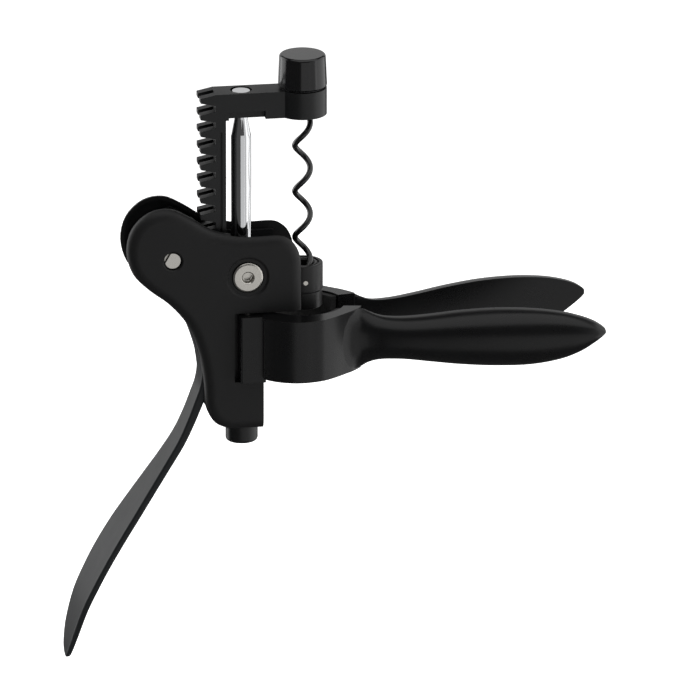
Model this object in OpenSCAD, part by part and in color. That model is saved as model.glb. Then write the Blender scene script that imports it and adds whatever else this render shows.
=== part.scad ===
// Lever corkscrew with a geared lever, a running worm and two neck-gripping handles.
// Origin on the worm axis at mid-height of the jaws. +X towards the grips, +Z up, mirror plane Y = 0.

/* [Worm and nut] */
// Rise of the worm in one turn
worm_lead = 19.5; // [18:0.5:21]
// Radius of the worm's wire centreline
worm_r = 3.1; // [2.9:0.1:3.2]
// Diameter of the worm's wire
worm_wire = 2.4; // [2:0.1:2.6]
// Radius of the drive nut
nut_r = 8.25; // [8:0.05:8.5]

/* [Gear and rack] */
// Tooth module of the rack and the lever gears
tooth_module = 2.25; // [2.25]
// Teeth on a full circle of the lever gear
gear_teeth = 13; // [13]
// Width of the rack and of the carriage arm
rack_w = 11.6; // [11:0.2:11.8]
// Width of the groove between the two rows of teeth
rack_groove = 3.6; // [3:0.2:4]

/* [Jaws and handles] */
// Radius of a bottle neck between the pads
neck_r = 14.7; // [14:0.1:15.2]
// Inner radius of the jaws behind the pads
jaw_r = 17.2; // [17:0.1:17.4]
// Half the height of a jaw
jaw_half_h = 13; // [12:0.5:13]
// Angle between each handle and the tool's long axis
handle_angle = 9.5; // [9:0.5:10]

/* [Body] */
// Half the outer width of the two covers
cover_half_w = 12.4; // [12.2:0.1:12.8]
// Radius of the guide rod
rod_r = 4.1; // [4:0.05:4.1]
// Diameter of the large cover screws
screw_head_d = 12.7; // [12:0.1:13]

/* [Hidden] */
$fn = 64;
eps = 0.01;

// Gear and rack
pitch = PI * tooth_module;
pitch_r = tooth_module * gear_teeth / 2;
axle_x = -55;
axle_z = 37;
axle_r = 3.25;
run_gap = 0.05;
gear_root_r = 11.7;
gear_tip_r = 17.2;
gear_row_in = rack_groove / 2;
gear_row_out = rack_w / 2;
rack_root_x = -36.5;
rack_tip_x = -42.6;
rack_back_x = -32.2;
rack_tooth_tip = 2;
rack_tooth_root = 4.6;
rack_teeth = 11;
rack_top_tooth_z = 102.6;
rack_bottom_z = 25;

// Carriage arm and boss
arm_z0 = 93.8;
arm_z1 = 105;
boss_r = 9.9;
rod_x = -25.2;
rod_bottom_z = 15;
rod_cone_z = 85.4;
rod_neck_r = 2.55;
rod_head_r = 3.7;
rod_counterbore_r = 4.4;
bush_r = 6.2;
shank_r = 4.6;

// Cap
cap_z0 = 105.6;
cap_z1 = 119;
cap_r0 = 10;
cap_r1 = 9.45;

// Nut block, at its lowest position
nut_z0 = 12;
nut_seam_z = 19.5;
nut_z1 = 30.5;
nut_bore_r = worm_r + worm_wire / 2 + 0.3;
sleeve_r = 5.9;
sleeve_z0 = 14;
sleeve_z1 = 30;
front_pin_z = 23.7;
rear_pin_z = 20.9;

// Body: half widths counted from the mirror plane
plate_in = 6.2;
plate_out = 8;
cover_in = 10.2;
cover_lip = 8.2;
deck_z = 13.6;
body_z0 = -36.5;
block_x0 = -32;
block_x1 = -17.9;
window_x = -29.8;
window_z0 = -15.9;
window_z1 = 13.4;
cover_end_x = -1.9;
screw_x = -24.3;
screw_z = 28.6;
cup_z0 = -44.6;
cup_r = 6.6;

// Handle hinges
pin_x = -24.5;
pin_y = 9.4;
pin_r = 1.6;
lug_out = 11.5;
lug_len = 14;
lug_h = 3.6;
lug_overlap = 0.6;
knuckle_z0 = -15.2;
knuckle_z1 = 12.8;
knuckle_out = 16.4;
mate_y = 7.1;

// Latch
latch_x = -16.9;
latch_z = 8;
latch_half_w = 1.9;

body_black = "#1e1f21";
metal_black = "#232426";
satin_grey = "#4a4c4f";
chrome = "#c9ccd0";
brass = "#b08d57";
rubber = "#2a2a2b";

// ---- Curves and lofts ----

// A point on the Catmull-Rom curve between p[1] and p[2]
function spline_point(p, t) =
    0.5 * (2 * p[1] + (p[2] - p[0]) * t
        + (2 * p[0] - 5 * p[1] + 4 * p[2] - p[3]) * t * t
        + (3 * p[1] - p[0] - 3 * p[2] + p[3]) * t * t * t);

// An open smooth curve through the given points, with `steps` points to a span
function spline(pts, steps) =
    let (n = len(pts))
    concat([for (i = [0:n - 2])
        let (p = [pts[max(i - 1, 0)], pts[i], pts[i + 1], pts[min(i + 2, n - 1)]])
        for (k = [0:steps - 1]) spline_point(p, k / steps)], [pts[n - 1]]);

// A closed solid through rings that hold the same number of points
module loft(rings) {
    n = len(rings[0]);
    last = len(rings) - 1;
    polyhedron(
        points = [for (ring = rings) for (p = ring) p],
        faces = concat(
            [[for (j = [n - 1:-1:0]) j]],
            [for (i = [0:last - 1]) for (j = [0:n - 1])
                let (a = i * n + j, b = i * n + (j + 1) % n) [a, b, b + n]],
            [for (i = [0:last - 1]) for (j = [0:n - 1])
                let (a = i * n + j, b = i * n + (j + 1) % n) [a, b + n, a + n]],
            [[for (j = [0:n - 1]) last * n + j]]
        ),
        convexity = 8
    );
}

// A flat shape drawn in X and Z, extruded from y0 to y1
module along_y(y0, y1) {
    translate([0, y1, 0]) rotate([90, 0, 0]) linear_extrude(y1 - y0, convexity = 6) children();
}

// A round bar along Y
module bar_y(x, z, r, y0, y1) {
    translate([x, y1, z]) rotate([90, 0, 0]) cylinder(h = y1 - y0, r = r);
}

module rear() {
    mirror([0, 1, 0]) children();
}

// ---- Body ----

// Outline of a cover, from the nut end over the top and round the gear lobe to the foot
cover_edge = [
    [cover_end_x, 30], [-2.3, 36], [-4, 40.6], [-6.8, 43.8], [-11.3, 45.7], [-22, 45.6], [-30.4, 46.4],
    [-39.2, 49], [-48, 54.7], [-56, 58.4], [-64.6, 57], [-71.4, 50.4], [-73.6, 41], [-71, 31.4],
    [-64.3, 24.2], [-56, 17.6], [-48.6, 8.4], [-44, -4], [-42, -17], [-41.4, -26.4], [-37.6, -33.6],
    [-31.6, body_z0]
];
cover_outline = concat(
    [[cover_end_x, window_z1]], spline(cover_edge, 3),
    [[block_x1, body_z0], [block_x1, window_z0], [window_x, window_z0], [window_x, window_z1]]
);

module cover() {
    difference() {
        union() {
            difference() {
                along_y(-10.8, -cover_lip) polygon(cover_outline);
                along_y(-cover_in, -cover_lip + 1) offset(delta = -2.2) polygon(cover_outline);
                translate([-31, -cover_in, -50]) cube([40, cover_in - cover_lip + 1, 110]);
            }
            along_y(-11.7, -10.8) offset(delta = -0.7) polygon(cover_outline);
            along_y(-cover_half_w, -11.7) offset(delta = -2) polygon(cover_outline);
        }
        // pockets for the hinge lugs
        for (z = [window_z1 - 0.2, window_z0 - lug_h - 0.4])
            translate([block_x0 - 0.1, -lug_out - 0.1, z]) cube([lug_len + 0.3, 5, lug_h + 0.6]);
        bar_y(axle_x, axle_z, 3.75, -13, -8);
        bar_y(screw_x, screw_z, 8.75, -13, -11.6);
        bar_y(screw_x, screw_z, 2.5, -13, -8);
    }
}

module front_cover() {
    color(body_black) cover();
}

module rear_cover() {
    color(body_black) rear() cover();
}

// One side plate of the frame, seen from the side
module plate_shape() {
    intersection() {
        offset(delta = -3) polygon(cover_outline);
        union() {
            translate([axle_x, axle_z]) circle(r = 16.4);
            polygon([[-56, 53.4], [-46, 25.5], [-36.2, 20], [-36.2, -40], [-11, -40], [-11, 60], [-40, 60]]);
        }
    }
}

module frame_side() {
    along_y(-plate_out, -plate_in) plate_shape();
    bar_y(axle_x, axle_z, 5.6, -10, -plate_in);
    bar_y(screw_x, screw_z, 4.6, -10, -plate_in);
    for (z = [window_z1 + 0.1, window_z0 - lug_h - 0.1])
        translate([block_x0, -lug_out, z]) cube([lug_len, lug_out - plate_in - lug_overlap, lug_h]);
}

module main_frame() {
    color(metal_black) difference() {
        union() {
            frame_side();
            rear() frame_side();
            translate([block_x0, -plate_in - 0.2, body_z0 + 0.6])
                cube([block_x1 - block_x0, 2 * plate_in + 0.4, deck_z - body_z0 - 0.6]);
            translate([block_x1 - 1, -plate_in, 0]) cube([3.4, 2 * plate_in, deck_z]);
        }
        // clearance for the handle knuckles
        for (s = [-1, 1]) translate([-30.5, s > 0 ? plate_in : -20, window_z0])
            cube([20, 20 - plate_in, window_z1 - window_z0]);
        // rod bore, and the socket of the cup below it
        translate([rod_x, 0, body_z0]) cylinder(h = 60, r = rod_r + 0.2);
        translate([rod_x, 0, body_z0]) cylinder(h = 8.5, r = 5.4);
        // gear axle, cover screws and hinge pins
        bar_y(axle_x, axle_z, axle_r, -20, 20);
        for (s = [-1, 1]) bar_y(screw_x, screw_z, 2.4, s > 0 ? plate_in - 1 : -11, s > 0 ? 11 : 1 - plate_in);
        for (s = [-1, 1]) translate([pin_x, s * pin_y, -30]) cylinder(h = 60, r = pin_r);
        // latch slot, its pin and its spring pocket
        translate([-18.8, -latch_half_w - 0.2, 2.4]) cube([5, 2 * latch_half_w + 0.4, 20]);
        bar_y(latch_x, latch_z, 0.8, -4.8, 4.8);
        translate([-20.3, 0, 4.4]) rotate([0, 90, 0]) cylinder(h = 3, r = 1.3);
    }
}

module rod_cup() {
    color(metal_black) translate([rod_x, 0, 0]) difference() {
        union() {
            translate([0, 0, cup_z0]) rotate_extrude()
                polygon([[0, 0], [cup_r - 1.4, 0], [cup_r - 0.4, 0.4], [cup_r, 1.4],
                    [cup_r, body_z0 - cup_z0], [0, body_z0 - cup_z0]]);
            translate([0, 0, body_z0 - eps]) cylinder(h = 8.5, r = 5.4);
        }
        translate([0, 0, cup_z0 + 1.6]) cylinder(h = 30, r = rod_r + 0.3);
    }
}

module cover_screw() {
    translate([screw_x, 0, screw_z]) rotate([90, 0, 0]) difference() {
        union() {
            translate([0, 0, 11.6]) cylinder(h = 0.7, r = screw_head_d / 2);
            translate([0, 0, 12.3]) cylinder(h = 0.3, r1 = screw_head_d / 2, r2 = screw_head_d / 2 - 0.4);
            translate([0, 0, plate_in + 0.3]) cylinder(h = 6, r = 2.4);
        }
        translate([0, 0, 10.6]) cylinder(h = 3, r = 2.05, $fn = 6);
    }
}

module front_cover_screw() {
    color(chrome) cover_screw();
}

module rear_cover_screw() {
    color(chrome) rear() cover_screw();
}

module gear_axle() {
    color(chrome) difference() {
        bar_y(axle_x, axle_z, axle_r, -11.3, 11.3);
        for (s = [-1, 1]) translate([axle_x, s * 11.3, axle_z]) rotate([0, 30, 0])
            translate([-6 - 2.3, -1.6, -5]) cube([6, 3.2, 10]);
    }
}

module hinge_pin() {
    translate([pin_x, -pin_y, window_z0 - 3.6]) cylinder(h = window_z1 - window_z0 + 7.2, r = pin_r);
}

module front_hinge_pin() {
    color(chrome) hinge_pin();
}

module rear_hinge_pin() {
    color(chrome) rear() hinge_pin();
}

// ---- Nut latch ----

module latch_pin() {
    color(chrome) bar_y(latch_x, latch_z, 0.8, -4.8, 4.8);
}

module nut_latch() {
    color(satin_grey) difference() {
        along_y(-latch_half_w, latch_half_w) union() {
            translate([latch_x, latch_z]) circle(r = 1.4);
            polygon([[-17.6, 3.2], [-16.3, 3.2], [-15.8, 8], [-15.8, 18.6], [-18.1, 18.6],
                [-18.6, 17.9], [-18.1, 17.2], [-17.1, 16.6], [-17.6, 8]]);
        }
        bar_y(latch_x, latch_z, 0.8 + run_gap, -5, 5);
    }
}

// A coil of round wire about +Z, with an optional point at its lower end
function coil_rings(r, wire_r, lead, z0, z1, sides, per_turn, point_len = 0, phase = 0) =
    let (count = ceil((z1 - z0) / lead * per_turn), slope = atan2(lead, 2 * PI * r))
    [for (i = [0:count])
        let (z = z0 + (z1 - z0) * i / count, a = phase + 360 * z / lead,
            k = point_len > 0 ? min(1, 0.12 + 0.88 * (z - z0) / point_len) : 1,
            outward = [cos(a), sin(a), 0],
            across = [sin(a) * sin(slope), -cos(a) * sin(slope), cos(slope)])
        [for (j = [0:sides - 1])
            let (b = 360 * j / sides)
            r * outward + [0, 0, z] + wire_r * k * (outward * cos(b) + across * sin(b))]];

module latch_spring() {
    color(chrome) translate([-20.2, 0, 4.4]) rotate([0, 90, 0])
        loft(coil_rings(0.9, 0.16, 0.6, 0.2, 2.3, 6, 16));
}

// ---- Lever and gears ----

// Half the angle of a gear tooth at radius rr: an involute above its base circle, relieved below it
pressure = atan2((rack_tooth_root - rack_tooth_tip) / 2, rack_root_x - rack_tip_x);
base_r = pitch_r * cos(pressure);
tooth_at_pitch = 3.35;
function involute(a) = tan(a) - a * PI / 180;
function half_angle(rr) =
    let (flank = rr > base_r ? involute(acos(base_r / rr)) : 0,
        relief = rr < pitch_r ? 0.006 * (pitch_r - rr) : 0)
    (tooth_at_pitch / (2 * pitch_r) + involute(pressure) - flank - relief) * 180 / PI;
tooth_radii = [gear_root_r, 13, pitch_r, 15.6, 16.5, gear_tip_r];

// One tooth centred on angle c, from the root up one flank and down the other
function tooth_points(c) =
    let (n = len(tooth_radii) - 1)
    concat(
        [for (i = [0:n]) let (a = c - half_angle(tooth_radii[i])) tooth_radii[i] * [cos(a), sin(a)]],
        [for (i = [n:-1:0]) let (a = c + half_angle(tooth_radii[i])) tooth_radii[i] * [cos(a), sin(a)]]
    );

// The rack tooth nearest above the axle sets where the gear's spaces lie at rest
mesh_rise = rack_top_tooth_z - 9 * pitch - axle_z;
first_tooth = mesh_rise / pitch_r * 180 / PI - 180 / gear_teeth;
gear_sector_teeth = 10;
tooth_step = 360 / gear_teeth;
last_tooth = first_tooth + (gear_sector_teeth - 1) * tooth_step;
gear_outline = concat(
    [for (k = [0:gear_sector_teeth - 1]) each tooth_points(first_tooth + k * tooth_step)],
    [for (a = [last_tooth + 12:8:first_tooth + 348]) gear_root_r * [cos(a), sin(a)]]
);

module lever_gear() {
    difference() {
        translate([axle_x, 0, axle_z]) along_y(-gear_row_out, -gear_row_in) polygon(gear_outline);
        bar_y(axle_x, axle_z, 4.3, -10, 0);
        rivet_row(-10, 0);
    }
}

module rivet_row(y0, y1) {
    for (a = [100, 220, 340])
        bar_y(axle_x + 7.9 * cos(a), axle_z + 7.9 * sin(a), 1.5, y0, y1);
}

module front_gear() {
    color(satin_grey) lever_gear();
}

module rear_gear() {
    color(satin_grey) rear() lever_gear();
}

module gear_rivets() {
    color(chrome) rivet_row(-gear_row_out - 0.1, gear_row_out + 0.1);
}

module gear_bush() {
    color(brass) difference() {
        bar_y(axle_x, axle_z, 4.3, -gear_row_out - 0.2, gear_row_out + 0.2);
        bar_y(axle_x, axle_z, axle_r + run_gap, -8, 8);
    }
}

// Lever stations from the gear to the tip: X, Z, thickness, width
lever_stations = [
    [-50.6, 25, 9, 7], [-46.6, 14, 8, 11.5], [-43.2, 4, 7, 14.4], [-40.9, -5, 6, 15],
    [-40.2, -12, 5, 15], [-41.3, -19, 4.2, 15], [-43.7, -25.4, 3.7, 15], [-47.2, -34.1, 3.4, 15.4],
    [-51.2, -42.4, 3.2, 16.6], [-57.2, -51.9, 3, 19], [-63.4, -61.2, 2.9, 22.4], [-69.7, -70.7, 2.8, 26],
    [-76, -80.3, 2.7, 28.8], [-82, -90.3, 2.6, 30], [-87, -99.8, 2.6, 29.6], [-91.7, -110.1, 2.6, 27.6],
    [-95.2, -121.4, 2.5, 22.6], [-96.9, -129, 2.2, 15], [-97.4, -132.4, 1.8, 9], [-97.6, -134, 1.2, 3]
];

module lever_blade() {
    path = spline(lever_stations, 2);
    n = len(path) - 1;
    loft([for (i = [0:n])
        let (s = path[i], step = path[min(i + 1, n)] - path[max(i - 1, 0)],
            len_xz = norm([step[0], step[1]]), nx = -step[1] / len_xz, nz = step[0] / len_xz,
            t = s[2] / 2, w = s[3] / 2, c = min(0.45 * s[2], 1.2))
        [for (q = [[-t, -w + c], [-t + c, -w], [t - c, -w], [t, -w + c],
                [t, w - c], [t - c, w], [-t + c, w], [-t, w - c]])
            [s[0] + q[0] * nx, q[1], s[1] + q[0] * nz]]]);
}

module lever() {
    color(satin_grey) difference() {
        union() {
            lever_blade();
            along_y(-gear_row_in, gear_row_in) union() {
                translate([axle_x, axle_z]) circle(r = gear_root_r);
                polygon([[-64, 30], [-54.4, 22.5], [-50, 13], [-43, 15.4], [-45.4, 24.6], [-45, 32]]);
            }
        }
        bar_y(axle_x, axle_z, 4.3, -10, 10);
        rivet_row(-10, 10);
    }
}

// ---- Carriage ----

module rack_tooth(z) {
    polygon([[rack_root_x + eps, z - rack_tooth_root / 2], [rack_tip_x, z - rack_tooth_tip / 2],
        [rack_tip_x, z + rack_tooth_tip / 2], [rack_root_x + eps, z + rack_tooth_root / 2]]);
}

module rack_shape() {
    translate([rack_root_x, rack_bottom_z])
        square([rack_back_x - rack_root_x, arm_z1 - rack_bottom_z]);
    for (k = [0:rack_teeth - 1]) rack_tooth(rack_top_tooth_z - k * pitch);
}

module rack_carriage() {
    half = rack_w / 2;
    color(metal_black) difference() {
        union() {
            along_y(-half, half) rack_shape();
            translate([rack_back_x - 1, -half, arm_z0]) cube([-rack_back_x + 1, rack_w, arm_z1 - arm_z0]);
            translate([0, 0, arm_z0]) cylinder(h = arm_z1 - arm_z0, r = boss_r);
        }
        // groove between the two rows of teeth
        translate([rack_tip_x - 1, -rack_groove / 2, 0])
            cube([rack_root_x - rack_tip_x + 1, rack_groove, 120]);
        for (s = [-1, 1]) {
            // side slots down the rack, and the notches under the arm
            translate([-34.8, s > 0 ? half - 1 : -half - 1, 0]) cube([1, 2, 89]);
            translate([-31, s > 0 ? half - 3 : -half - 1, arm_z0 - 1]) cube([15, 4, 4.4]);
        }
        // seat of the guide rod and its screw
        translate([rod_x, 0, arm_z0 - 1]) cylinder(h = 20, r = rod_neck_r);
        translate([rod_x, 0, arm_z1 - 2.5]) cylinder(h = 5, r = rod_counterbore_r);
        // bush seat, with room for the worm collar below the bush
        translate([0, 0, arm_z0 - 1]) cylinder(h = 20, r = bush_r);
    }
}

module guide_rod() {
    color(chrome) translate([rod_x, 0, 0]) difference() {
        rotate_extrude() polygon([[0, rod_bottom_z], [rod_r - 0.6, rod_bottom_z], [rod_r, rod_bottom_z + 0.6],
            [rod_r, rod_cone_z], [rod_neck_r, arm_z0], [rod_neck_r, arm_z1 - 2.5], [0, arm_z1 - 2.5]]);
        translate([0, 0, arm_z1 - 10]) cylinder(h = 20, r = 1.2);
    }
}

module rod_screw() {
    color(chrome) translate([rod_x, 0, 0]) {
        translate([0, 0, arm_z1 - 2.5]) cylinder(h = 2.2, r = rod_head_r);
        translate([0, 0, arm_z1 - 9.5]) cylinder(h = 7.1, r = 1.2);
    }
}

module worm_bush() {
    color(brass) difference() {
        translate([0, 0, arm_z0 + 1.2]) cylinder(h = arm_z1 - arm_z0 - 1.2, r = bush_r);
        translate([0, 0, arm_z0]) cylinder(h = 20, r = shank_r + run_gap);
    }
}

module thrust_washer() {
    color(chrome) difference() {
        translate([0, 0, arm_z1 + 0.05]) cylinder(h = 0.45, r = 9);
        translate([0, 0, arm_z1 - 1]) cylinder(h = 4, r = shank_r + run_gap);
    }
}

module worm() {
    color(metal_black) union() {
        loft(coil_rings(worm_r, worm_wire / 2, worm_lead, nut_z0 + 2, 96.5, 10, 26, 11,
            90 - 360 * (31.75 + worm_lead / 4) / worm_lead));
        translate([0, 0, arm_z0 + 0.1]) cylinder(h = 1, r = 5.9);
        translate([0, 0, arm_z0 + 0.6]) cylinder(h = 112 - arm_z0 - 0.6, r = shank_r);
    }
}

module worm_cap() {
    edge = 1;
    color(body_black) difference() {
        rotate_extrude($fn = 96) polygon(concat(
            [[0, cap_z0], [cap_r0 - 0.5, cap_z0], [cap_r0, cap_z0 + 0.5]],
            [for (a = [0:22.5:90]) [cap_r1 - edge + edge * cos(a), cap_z1 - edge + edge * sin(a)]],
            [[0, cap_z1]]
        ));
        translate([0, 0, cap_z0 - 1]) cylinder(h = 112 - cap_z0 + 1, r = shank_r);
    }
}

// ---- Nut block ----

module nut_block() {
    color(metal_black) difference() {
        union() {
            translate([rod_x, 0, sleeve_z0]) cylinder(h = sleeve_z1 - sleeve_z0, r = sleeve_r);
            translate([rod_x, -5, nut_seam_z + 0.7]) cube([-rod_x - 5, 10, sleeve_z1 - nut_seam_z - 0.7]);
        }
        translate([rod_x, 0, 0]) cylinder(h = 60, r = rod_r + run_gap);
        cylinder(h = 60, r = nut_r);
        // notch that the latch hooks into
        translate([-20.5, -latch_half_w - 0.4, 16.2]) cube([4, 2 * latch_half_w + 0.8, 3.2]);
    }
}

module drive_nut() {
    color(metal_black) difference() {
        translate([0, 0, nut_seam_z]) cylinder(h = nut_z1 - nut_seam_z, r = nut_r);
        translate([0, 0, 0]) cylinder(h = 60, r = nut_bore_r);
        translate([0, 0, nut_z1 - 0.6]) difference() {
            cylinder(h = 2, r = 6.7);
            translate([0, 0, -1]) cylinder(h = 4, r = 6);
        }
        bar_y(0, front_pin_z, 1, -10, 0);
        bar_y(0, rear_pin_z, 1, 0, 10);
    }
}

module stop_ring() {
    color(rubber) difference() {
        union() {
            translate([0, 0, nut_z0]) cylinder(h = nut_seam_z - nut_z0 - 0.4, r = nut_r - 0.35);
            translate([0, 0, nut_seam_z - 0.5]) cylinder(h = 0.5, r = nut_r - 0.8);
        }
        cylinder(h = 60, r = nut_bore_r + 0.3);
    }
}

// A stepped pin: its thick end shows on the nut, its thin end reaches under the worm's wire
module drive_pin() {
    bar_y(0, 0, 1, -nut_r - 0.1, -nut_bore_r - 0.4);
    bar_y(0, 0, 0.75, -nut_bore_r - 0.4 - eps, -worm_r + 0.2);
}

module drive_pins() {
    color(chrome) {
        translate([0, 0, front_pin_z]) drive_pin();
        rear() translate([0, 0, rear_pin_z]) drive_pin();
    }
}

// ---- Handles ----

jaw_edge = [
    [-18.8, 19.1], [-14.9, 22.7], [-9.7, 25.4], [-3.6, 26.4], [3.7, 25], [8.9, 22.1],
    [14.3, 17.7], [18.6, 14], [22, 10], [22.8, mate_y + 1.1]
];

// Plan of a jaw and its hinge knuckle, on the near side
module jaw_shape() {
    difference() {
        union() {
            mirror([0, 1]) polygon(concat(
                spline(jaw_edge, 3),
                [[15, mate_y - 0.2], [0, 10], [-14, 9.6], [-18.8, 9.6]]
            ));
            translate([-27.9, -knuckle_out]) square([10, knuckle_out - pin_y]);
            translate([-19, -16.4]) square([4, 7]);
            translate([pin_x, -pin_y]) circle(r = 2.9);
        }
        circle(r = jaw_r, $fn = 96);
    }
}

// Grip stations: distance along X, half height, thickness
grip_stations = [
    [17, 8, 4], [20, 9.2, 8.4], [26, 9, 9.4], [32, 8.7, 9.4], [40, 9, 9.6], [50, 10.1, 10.6],
    [62, 11.3, 11.8], [76, 11.9, 12.6], [90, 11.7, 12.6], [102, 10.6, 11.6], [110, 8.8, 9.8],
    [116, 6.2, 7.4], [119.4, 3.4, 4.6], [120.6, 1.2, 2]
];

module grip() {
    sides = 12;
    slope = tan(handle_angle);
    loft([for (s = spline(grip_stations, 2))
        let (y0 = -mate_y - 0.4 - (s[0] - 17) * slope)
        [for (k = [0:sides])
            let (a = -86 + 172 * k / sides)
            [s[0], y0 - s[2] * (pow(cos(a), 0.75) - pow(cos(86), 0.75)), s[1] * sin(a)]]]);
}

module handle() {
    difference() {
        union() {
            intersection() {
                translate([0, 0, knuckle_z0]) linear_extrude(jaw_half_h - knuckle_z0) jaw_shape();
                union() {
                    translate([-17.9, -40, -jaw_half_h]) cube([60, 40, 2 * jaw_half_h]);
                    translate([-40, -40, knuckle_z0]) cube([22.2, 40, knuckle_z1 - knuckle_z0]);
                }
            }
            grip();
        }
        translate([pin_x, -pin_y, -30]) cylinder(h = 60, r = pin_r + run_gap);
    }
}

module front_handle() {
    color(body_black) handle();
}

module rear_handle() {
    color(body_black) rear() handle();
}

module jaw_pad() {
    pad_z = jaw_half_h - 0.8;
    difference() {
        intersection() {
            translate([0, 0, -pad_z]) cylinder(h = 2 * pad_z, r = jaw_r, $fn = 96);
            translate([-13.6, -30, -30]) cube([28.6, 30 - mate_y - 0.6, 60]);
        }
        translate([0, 0, -30]) cylinder(h = 60, r = neck_r, $fn = 96);
        translate([-30, -10.2, -30]) cube([20, 12, 60]);
    }
}

module front_jaw_pad() {
    color(rubber) jaw_pad();
}

module rear_jaw_pad() {
    color(rubber) rear() jaw_pad();
}

main_frame();
rod_cup();
front_cover();
rear_cover();
front_cover_screw();
rear_cover_screw();
gear_axle();
front_hinge_pin();
rear_hinge_pin();
latch_pin();
latch_spring();
nut_latch();
lever();
front_gear();
rear_gear();
gear_rivets();
gear_bush();
rack_carriage();
guide_rod();
rod_screw();
worm_bush();
thrust_washer();
worm();
worm_cap();
nut_block();
drive_nut();
stop_ring();
drive_pins();
front_handle();
rear_handle();
front_jaw_pad();
rear_jaw_pad();
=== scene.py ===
"""Lever corkscrew: its visible pieces and finishes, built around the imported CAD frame."""

import math

import bmesh
import bpy
from bpy.props import FloatProperty, FloatVectorProperty, PointerProperty
from mathutils import Matrix, Vector


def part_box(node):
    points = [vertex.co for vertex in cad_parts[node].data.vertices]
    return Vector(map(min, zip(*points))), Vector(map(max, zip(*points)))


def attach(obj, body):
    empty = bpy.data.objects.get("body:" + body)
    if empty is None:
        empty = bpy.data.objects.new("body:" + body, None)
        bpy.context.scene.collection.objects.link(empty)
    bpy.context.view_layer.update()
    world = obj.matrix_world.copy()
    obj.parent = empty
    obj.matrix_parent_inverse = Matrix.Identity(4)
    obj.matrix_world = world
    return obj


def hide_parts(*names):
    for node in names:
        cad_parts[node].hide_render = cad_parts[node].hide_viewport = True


bl_info = {
    "name": "Lever corkscrew",
    "version": (1, 0, 0),
    "blender": (4, 5, 0),
    "location": "View3D > Sidebar > Corkscrew",
    "description": "Builds the lever corkscrew's pieces around its CAD frame",
    "category": "Object",
}

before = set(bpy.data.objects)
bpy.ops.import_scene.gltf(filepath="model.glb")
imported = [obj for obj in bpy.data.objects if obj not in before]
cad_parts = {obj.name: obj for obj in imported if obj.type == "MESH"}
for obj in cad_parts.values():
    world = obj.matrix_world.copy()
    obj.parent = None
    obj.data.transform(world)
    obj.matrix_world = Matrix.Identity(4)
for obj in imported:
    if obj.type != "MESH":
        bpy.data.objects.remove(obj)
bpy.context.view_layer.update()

MM = 0.001
FULL_TURN = 2 * math.pi

# How near, in millimetres, points are merged: in a new shape, in a CAD mesh and after a Boolean
WELD_NEW = 0.001
WELD_CAD = 0.002
WELD_CUT = 0.003
# Faces that meet at less than this angle, in degrees, are one flat face
FLAT_WITHIN = 0.4


# ---- Places read from the frame, in millimetres ----


class Place:
    """The box of a CAD node."""

    def __init__(self, node):
        low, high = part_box(node)
        self.low = low / MM
        self.high = high / MM
        self.middle = (self.low + self.high) / 2
        self.size = self.high - self.low


COVER = Place("front_cover")
FRAME = Place("main_frame")
AXLE = Place("gear_axle")
COVER_SCREW = Place("front_cover_screw")
ROD = Place("guide_rod")
CUP = Place("rod_cup")
CARRIAGE = Place("rack_carriage")
CAP = Place("worm_cap")
NUT = Place("drive_nut")
DRIVE_PINS = Place("drive_pins")
RING = Place("stop_ring")
HINGE_PIN = Place("front_hinge_pin")
SPRING = Place("latch_spring")


# ---- Colour ----


def srgb(hex_code):
    """A linear RGBA colour from an sRGB hex code."""
    parts = [int(hex_code[i:i + 2], 16) / 255 for i in (1, 3, 5)]
    return [p / 12.92 if p <= 0.04045 else ((p + 0.055) / 1.055) ** 2.4 for p in parts] + [1.0]


def colour_property(name, description, hex_code):
    return FloatVectorProperty(
        name=name, description=description, subtype="COLOR", size=4, min=0, max=1, default=srgb(hex_code)
    )


def length_property(name, description, millimetres):
    return FloatProperty(
        name=name, description=description, default=millimetres * MM, min=0, unit="LENGTH"
    )


class CorkscrewSizes(bpy.types.PropertyGroup):
    """Sizes of the details that the looks add to the frame."""

    cover_round: length_property("Cover rounding", "How far the cover's edge curls over its face", 4.6)
    cover_wall: length_property("Cover wall", "Thickness of the cover's side wall at its lip", 1.7)
    dish_radius: length_property("Screw dish", "Radius of the dish round the cover screw", 8.75)
    dish_depth: length_property("Dish depth", "Depth of the dish round the cover screw", 0.8)
    jaw_round: length_property("Jaw edge", "Rounding of the jaw's edges", 0.5)
    lever_round: length_property("Lever edge", "Rounding of the lever blade's long edges", 0.9)
    cast_break: length_property("Cast edge", "Rounding of the cast pieces' edges", 0.25)
    turned_break: length_property("Turned edge", "Rounding of the turned pieces' edges", 0.15)
    cap_round: length_property("Cap rim", "Rounding of the cap's top rim", 1.1)


class CorkscrewColours(bpy.types.PropertyGroup):
    """Colours of the finishes."""

    soft_touch: colour_property("Soft-touch cover", "Colour of the two body covers", "#0f0f10")
    handle: colour_property("Handles", "Colour of the handles and jaws", "#0b0b0c")
    cast: colour_property("Coated casting", "Colour of the black coated castings", "#101112")
    lever: colour_property("Lever coating", "Colour of the coated lever", "#17191b")
    worm: colour_property("Worm coating", "Colour of the non-stick worm coating", "#101011")
    cap: colour_property("Cap", "Colour of the moulded cap", "#0b0b0c")
    nut: colour_property("Nut", "Colour of the nut and its stop ring", "#101011")
    chrome: colour_property("Chrome", "Colour of the chrome plating", "#d9dadc")
    steel: colour_property("Bright steel", "Colour of the turned steel", "#c9c6c0")
    floor: colour_property("Floor", "Colour of the floor", "#f4f4f3")


def sizes():
    return bpy.context.scene.corkscrew_sizes


def colours():
    return bpy.context.scene.corkscrew_colours


# ---- Materials ----

# Sockets of a Mix node that mixes colours
MIX_DARK, MIX_LIGHT, MIX_COLOUR = 6, 7, 2
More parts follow.
